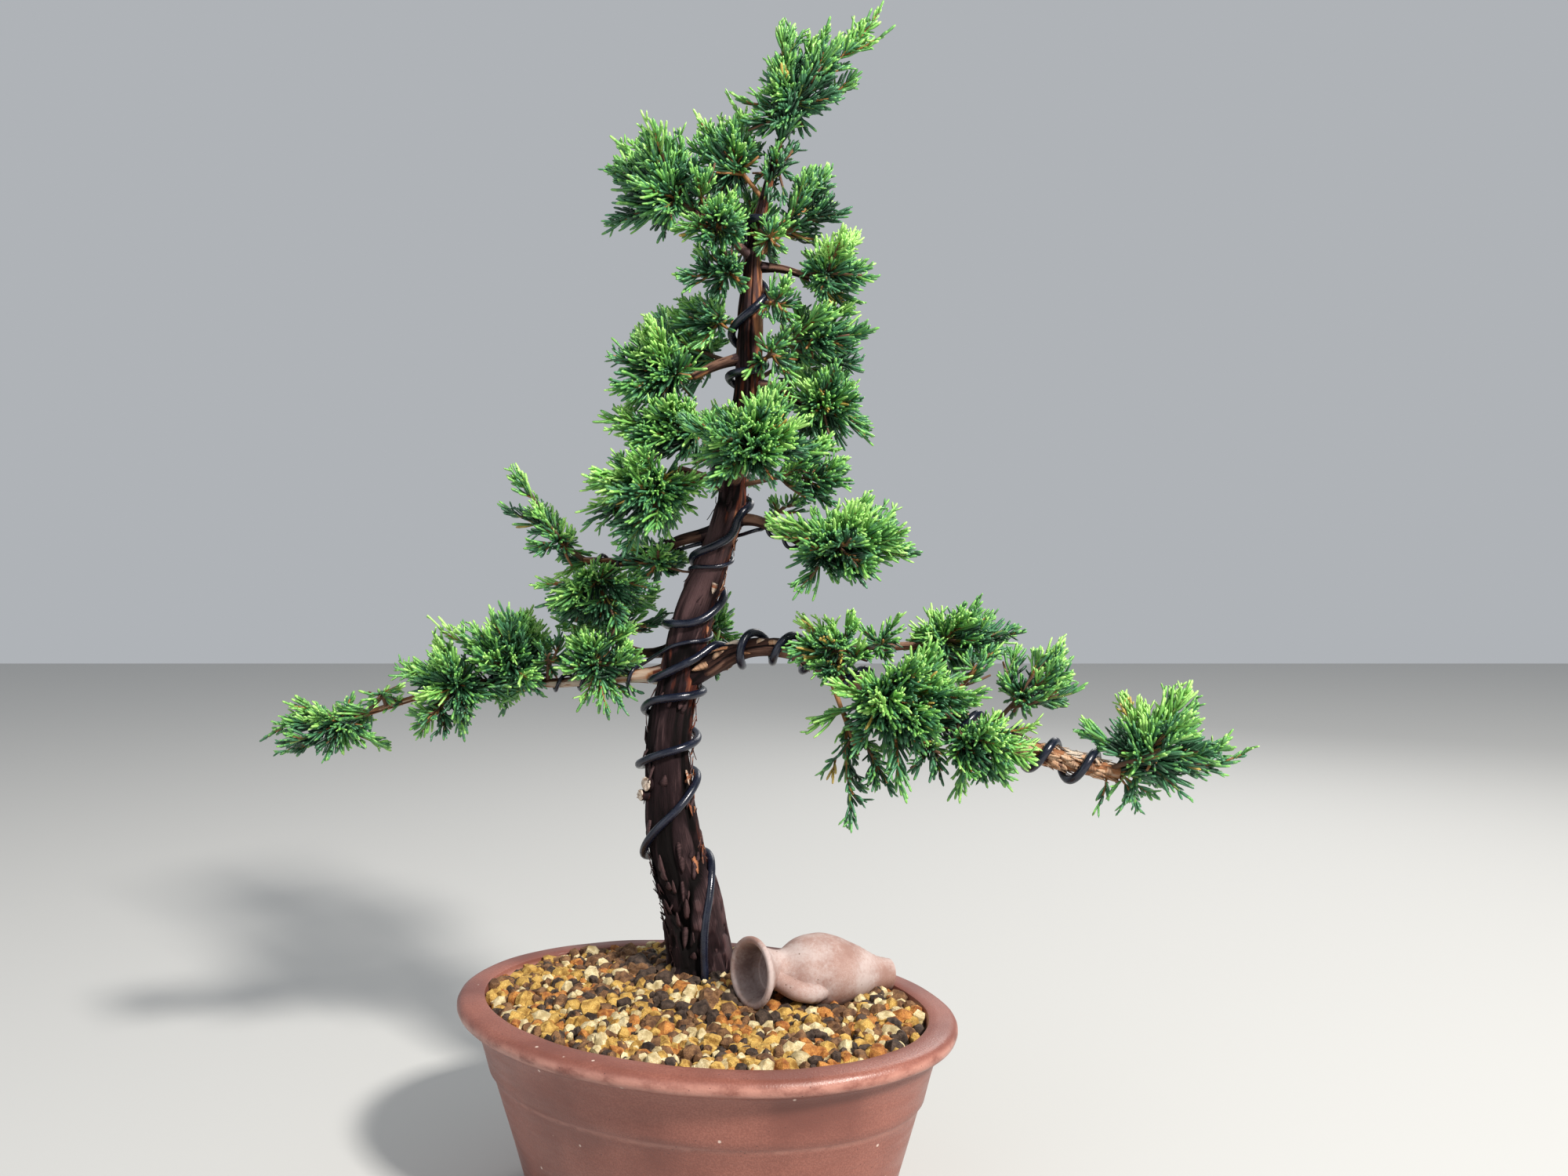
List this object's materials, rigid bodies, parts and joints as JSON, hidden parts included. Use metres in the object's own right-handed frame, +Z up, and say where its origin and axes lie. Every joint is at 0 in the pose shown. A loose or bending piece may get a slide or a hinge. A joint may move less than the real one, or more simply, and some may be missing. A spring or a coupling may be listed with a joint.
{
  "type": "juniper bonsai in an oval pot",
  "caption": "Upright juniper bonsai with a leaning, tapering trunk, wired boughs and separate foliage pads, in an oval stoneware pot of gravel with a small clay jar lying in it.",
  "frame": {"origin": "centre of the pot's flat underside, where it stands", "axes": "+Z up, +X to the right of the front view along the tree's widest spread, +Y to the back"},
  "size_m": [0.6839, 0.2822, 0.809],
  "materials": {
    "stoneware": "unglazed red-brown stoneware, satin, with fine pale flecks",
    "gravel": "6 to 10 mm baked clay and pumice grit, ochre to dark brown, matt",
    "terracotta": "pale pink fired clay with a whitish bloom, matt",
    "bark": "reddish-brown fibrous juniper bark that peels in strips, matt",
    "foliage": "living juniper scale foliage, bright yellow-green tips and dark green insides, slightly waxy",
    "wire": "near-black anodised aluminium training wire, satin"
  },
  "bodies": {
    "root": {"pot": "stoneware", "soil": "gravel", "jar": "terracotta", "trunk": "bark", "bough_right_low": "bark", "bough_right_low_upper": "bark", "bough_left_low": "bark", "bough_left_back": "bark", "bough_left_middle": "bark", "bough_right_middle": "bark", "bough_left_high_front": "bark", "bough_front": "bark", "bough_right_high": "bark", "bough_left_high": "bark", "bough_right_top": "bark", "bough_left_top": "bark", "bough_back_low": "bark", "bough_back_middle": "bark", "wire_trunk_low": "wire", "wire_trunk_high": "wire", "wire_left_low": "wire", "wire_left_middle": "wire", "wire_right_middle": "wire", "foliage_apex": "foliage", "foliage_top_left": "foliage", "foliage_top_left_high": "foliage", "foliage_top_front": "foliage", "foliage_top_front_low": "foliage", "foliage_top_right": "foliage", "foliage_upper_right_high": "foliage", "foliage_upper_right": "foliage", "foliage_right_high": "foliage", "foliage_upper_left": "foliage", "foliage_left_high": "foliage", "foliage_front": "foliage", "foliage_right_middle_high": "foliage", "foliage_left_middle_high": "foliage", "foliage_left_high_front": "foliage", "foliage_right_middle": "foliage", "foliage_left_middle": "foliage", "foliage_left_middle_shoot": "foliage", "foliage_left_low_inner": "foliage", "foliage_left_low_middle": "foliage", "foliage_left_low_outer": "foliage", "foliage_left_low_tip": "foliage", "foliage_right_low_inner": "foliage", "foliage_right_low_upper": "foliage", "foliage_right_low_outer": "foliage", "foliage_right_low_middle": "foliage", "foliage_right_low_hanging": "foliage", "foliage_right_low_front": "foliage", "foliage_right_low_tip": "foliage", "foliage_back_low": "foliage", "foliage_back_middle": "foliage", "foliage_back_left": "foliage", "foliage_back_right": "foliage", "foliage_back_top": "foliage", "foliage_left_back": "foliage"}
  },
  "joints": []
}
